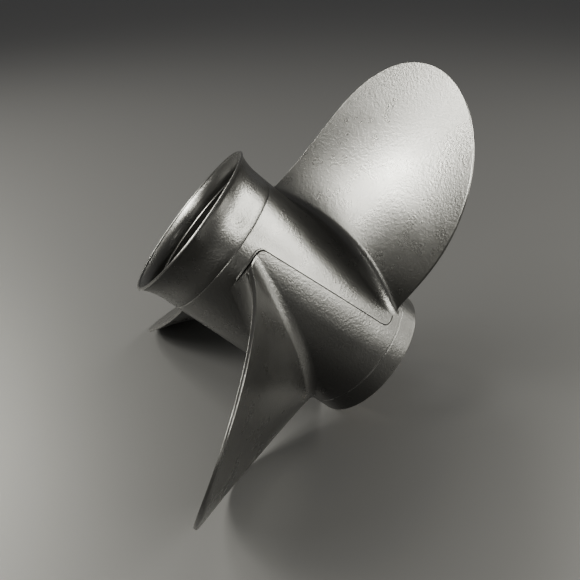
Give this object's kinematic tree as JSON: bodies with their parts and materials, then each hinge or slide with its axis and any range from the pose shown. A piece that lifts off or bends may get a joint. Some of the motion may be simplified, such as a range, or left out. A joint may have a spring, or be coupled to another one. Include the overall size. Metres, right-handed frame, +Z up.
{
  "type": "boat propeller",
  "caption": "Right-hand outboard boat propeller lying on its side: broad skewed blades on a round hub with a flared exhaust mouth and a splined sleeve.",
  "frame": {"origin": "centre of the bounding box, on the table the propeller lies on", "axes": "+Z up from the table, +X to the right in the picture, +Y away from the camera; the shaft lies in the XZ plane and its aft end leans up towards -X, 41.76 degrees above the table"},
  "size_m": [0.1966, 0.2626, 0.19],
  "materials": {
    "painted_casting": "satin black paint over a die-cast aluminium skin",
    "bushing_rubber": "matte",
    "sleeve_brass": "machined"
  },
  "bodies": {
    "root": {"front_collar": "painted_casting", "hub_barrel": "painted_casting", "diffuser_flare": "painted_casting", "inner_hub": "painted_casting", "rib_1": "painted_casting", "rib_2": "painted_casting", "rib_3": "painted_casting", "rubber_bushing": "bushing_rubber", "splined_sleeve": "sleeve_brass", "blade_1": "painted_casting", "blade_2": "painted_casting", "blade_3": "painted_casting"}
  },
  "joints": []
}
